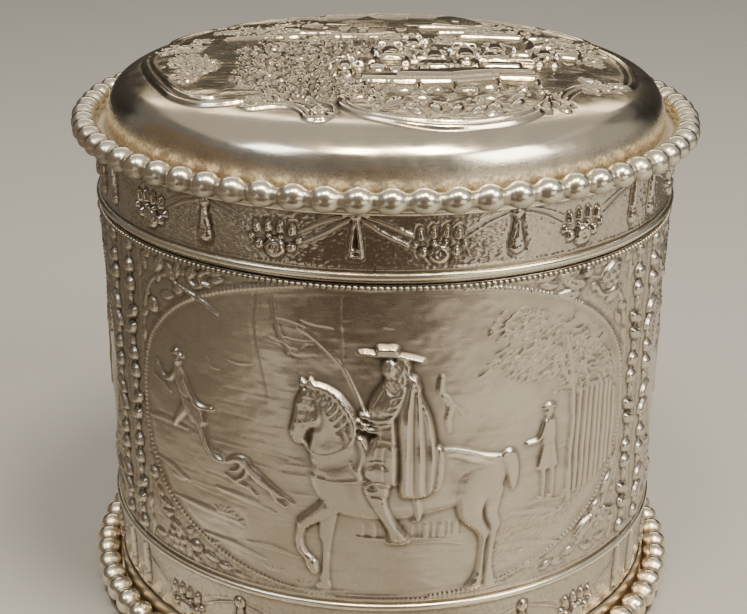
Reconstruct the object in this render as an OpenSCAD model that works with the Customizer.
// Round silver box with a lift-off domed lid. Soldered sheet and wire, no fasteners.
// Millimetres, +Z up. Origin on the axis at the level the foot stands on; the front faces -Y.

/* [Body] */
// outer radius of the cylindrical wall
body_r = 52; // [46:0.5:60]
// height of the body's mouth edge above the table
body_top = 76.35; // [65:0.05:90]
// height of the wall's lower edge
wall_foot_z = 4.6; // [4.4:0.1:5.5]
// thickness of the chased wall sheet
sheet = 0.7; // [0.6:0.1:1]
// height of the floor's upper side, inside
floor_z = 8.4; // [7.4:0.1:10]
// thickness of the floor disc
floor_t = 0.8; // [0.8:0.1:1.2]

/* [Foot] */
// radius to the centres of the foot's beads, beyond the wall
foot_bead_out = 3.1; // [2.9:0.05:3.6]
// height of the foot beads' centres
foot_bead_z = 3.2; // [3.1:0.05:3.4]
// radius of a foot bead
bead_r = 2.5; // [2.3:0.05:2.6]
// number of beads round the foot
foot_beads = 70; // [60:1:80]
// thickness of the flat strip that the box stands on
strip_t = 0.6; // [0.5:0.05:0.65]

/* [Wires] */
// height of the wire between the lower frieze and the picture field
low_wire_z = 18.1; // [15:0.1:22]
// radius of the half-round wires soldered on the walls
wire_r = 0.65; // [0.5:0.05:0.7]

/* [Locating collar] */
// how far the collar stands above the body's mouth
collar_up = 5; // [3:0.25:7]
// how far the collar reaches down inside the body
collar_down = 11; // [6:0.5:20]
// running gap between the collar and the lid's wall
collar_gap = 0.35; // [0.2:0.05:0.5]
// thickness of the collar
collar_t = 0.75; // [0.6:0.05:1]

/* [Lid] */
// gap that stands for the seam between body and lid
seam = 0.35; // [0.2:0.05:0.5]
// height of the lid's straight frieze wall
lid_wall_h = 11.9; // [11:0.1:14]
// height of the lid's lower wire above the lid's edge
lid_wire_up = 1.35; // [1:0.05:2]
// thickness of the lid's flange
flange_t = 0.8; // [0.6:0.1:0.9]
// radius to the centres of the lid's beads, beyond the wall
lid_bead_out = 2.15; // [1.9:0.05:2.4]
// radius of a lid bead
lid_bead_r = 2.25; // [2.1:0.05:2.4]
// number of beads round the lid
lid_beads = 68; // [60:1:80]
// how far the lid's row of beads is turned, in degrees
lid_bead_turn = 1; // [-3:0.05:3]
// height of the dome's crown above the flange
dome_h = 12.3; // [9:0.1:15]
// thickness of the dome sheet
dome_t = 0.8; // [0.7:0.1:1.1]

/* [Output] */
// which sub-part to draw

/* [Hidden] */
$fn = 128;
wall_in = body_r - sheet;
lid_z = body_top + seam;               // lower edge of the lid
lid_top = lid_z + lid_wall_h;          // top of the lid's straight wall
flange_top = lid_top + flange_t;
foot_bead_c = body_r + foot_bead_out;
lid_bead_c = body_r + lid_bead_out;
lid_bead_z = flange_top + lid_bead_r * 0.5;
collar_out = wall_in - 0.04;           // snug in the body
collar_lid_out = wall_in - collar_gap; // free in the lid
collar_in = collar_lid_out - collar_t;
dome_base_r = body_r - 2;              // outside of the dome where it meets the flange
silver = [0.78, 0.75, 0.70];
dark = [0.62, 0.58, 0.52];
bright = [0.88, 0.86, 0.80];

// a ring turned from a section given as radius and height
module turned(section) {
  rotate_extrude($fn = 180) polygon(section);
}

// a half-round wire on the outside of a wall of radius r
module wall_wire(r, z, w) {
  rotate_extrude($fn = 180)
    intersection() {
      translate([r + 0.02, z]) circle(r = w, $fn = 48);
      translate([r + 0.02, z - 2 * w]) square([2 * w, 4 * w]);
    }
}

// beads in a row on a carrier wire, trimmed flat where they sit on the sheet below
module bead_ring(ring_r, z, n, r, floor_at) {
  intersection() {
    union() {
      rotate_extrude($fn = 180) translate([ring_r, z]) circle(r = r * 0.84, $fn = 48);
      for (i = [0:n - 1])
        rotate([0, 0, 360 / n * i]) translate([ring_r, 0, z]) sphere(r = r, $fn = 48);
    }
    translate([0, 0, floor_at]) cylinder(r = ring_r + 10, h = 20, $fn = 180);
  }
}

module base_plate() {
  color(dark)
    rotate_extrude($fn = 180)
      polygon([[0, floor_z - floor_t - 0.6], [wall_in - 9, floor_z - floor_t - 0.6],
               [wall_in - 5, floor_z - floor_t], [wall_in - 0.03, floor_z - floor_t],
               [wall_in - 0.03, floor_z], [wall_in - 5, floor_z],
               [wall_in - 9, floor_z - 0.6], [0, floor_z - 0.6]]);
}

module body_wall() {
  color(silver)
    difference() {
      translate([0, 0, wall_foot_z]) cylinder(r = body_r, h = body_top - wall_foot_z, $fn = 180);
      translate([0, 0, wall_foot_z - 1]) cylinder(r = wall_in, h = body_top + 2, $fn = 180);
    }
}

// cove that spreads from the wall to the beads
module foot_flange() {
  color(silver)
    turned([[wall_in + 0.05, strip_t + 0.02], [body_r + 0.35, strip_t + 0.02],
            [body_r + 0.35, 2.2], [body_r + 0.55, wall_foot_z + 0.1],
            [body_r + 0.3, wall_foot_z + 1.4], [body_r + 0.04, wall_foot_z + 2],
            [body_r + 0.04, wall_foot_z - 0.03], [wall_in + 0.05, wall_foot_z - 0.03]]);
}

module foot_bead_wire() {
  color(bright)
    difference() {
      bead_ring(foot_bead_c, foot_bead_z, foot_beads, bead_r, strip_t + 0.02);
      cylinder(r = body_r + 0.62, h = 20, $fn = 180);
    }
}

module foot_strip() {
  color(dark)
    difference() {
      cylinder(r = foot_bead_c + bead_r * 0.7, h = strip_t, $fn = 180);
      translate([0, 0, -1]) cylinder(r = wall_in - 1.4, h = strip_t + 2, $fn = 180);
    }
}

module lower_wire() {
  color(bright) wall_wire(body_r, low_wire_z, wire_r);
}

module mouth_wire() {
  color(bright) wall_wire(body_r, body_top - 0.45, 0.4);
}

// collar soldered inside the mouth, on which the lid drops
module locating_collar() {
  color(silver)
    turned([[collar_in, body_top - collar_down], [collar_out, body_top - collar_down],
            [collar_out, body_top], [collar_lid_out, body_top + 0.02],
            [collar_lid_out, body_top + collar_up - 0.5],
            [collar_lid_out - collar_t / 2, body_top + collar_up],
            [collar_in, body_top + collar_up - 0.3]]);
}

module lid_wall() {
  color(silver)
    difference() {
      translate([0, 0, lid_z]) cylinder(r = body_r, h = lid_wall_h, $fn = 180);
      translate([0, 0, lid_z - 1]) cylinder(r = wall_in, h = lid_wall_h + 2, $fn = 180);
    }
}

module lid_lower_wire() {
  color(bright) wall_wire(body_r, lid_z + lid_wire_up, wire_r);
}

// thin wire that covers the joint of frieze and flange
module lid_upper_wire() {
  color(bright) wall_wire(body_r, lid_top - 0.5, 0.45);
}

// flat ring that carries the beads, stepped up to the dome
module lid_flange() {
  color(silver)
    turned([[dome_base_r - 2.2, lid_top + 0.01], [body_r + 1.7, lid_top + 0.01],
            [body_r + 1.7, flange_top], [dome_base_r + 0.5, flange_top],
            [dome_base_r + 0.06, flange_top + 0.5],
            [dome_base_r - 2.2, flange_top + 0.5]]);
}

module lid_bead_wire() {
  color(bright) rotate([0, 0, lid_bead_turn]) bead_ring(lid_bead_c, lid_bead_z, lid_beads, lid_bead_r, flange_top + 0.01);
}

// cushion-shaped dome, swelling out over its own foot, hollow inside
module lid_dome() {
  z0 = flange_top + 0.52;
  k = dome_h / 12.3;
  color(silver)
    difference() {
      turned([[0, z0], [dome_base_r, z0], [dome_base_r + 0.27, z0 + 0.9 * k],
              [dome_base_r + 0.12, z0 + 2.3 * k], [dome_base_r - 0.12, z0 + 3.3 * k],
              [dome_base_r - 0.5, z0 + 4.4 * k], [dome_base_r - 1, z0 + 5.5 * k],
              [dome_base_r - 1.85, z0 + 6.55 * k], [dome_base_r - 3, z0 + 7.5 * k],
              [dome_base_r - 4.4, z0 + 8.3 * k], [dome_base_r - 6.2, z0 + 9 * k],
              [dome_base_r - 8.4, z0 + 9.7 * k], [dome_base_r - 12.5, z0 + 10.7 * k],
              [dome_base_r - 24, z0 + 11.6 * k], [0, z0 + 12 * k]]);
      turned([[0, z0 - 1], [dome_base_r - 1.5, z0 - 1], [dome_base_r - dome_t - 0.1, z0 + 0.7 * k],
              [dome_base_r - dome_t - 0.02, z0 + 1.6 * k], [dome_base_r - dome_t - 0.3, z0 + 3 * k],
              [dome_base_r - dome_t - 0.75, z0 + 4.2 * k], [dome_base_r - dome_t - 1.4, z0 + 5.3 * k],
              [dome_base_r - dome_t - 2.35, z0 + 6.3 * k], [dome_base_r - dome_t - 3.7, z0 + 7.25 * k],
              [dome_base_r - dome_t - 5.5, z0 + 8 * k], [dome_base_r - dome_t - 8, z0 + 8.8 * k],
              [dome_base_r - dome_t - 12, z0 + 9.75 * k], [dome_base_r - dome_t - 23.5, z0 + 10.65 * k],
              [0, z0 + 11.05 * k]]);
    }
}

base_plate();
body_wall();
foot_flange();
foot_bead_wire();
foot_strip();
lower_wire();
mouth_wire();
locating_collar();
lid_wall();
lid_lower_wire();
lid_upper_wire();
lid_flange();
lid_bead_wire();
lid_dome();
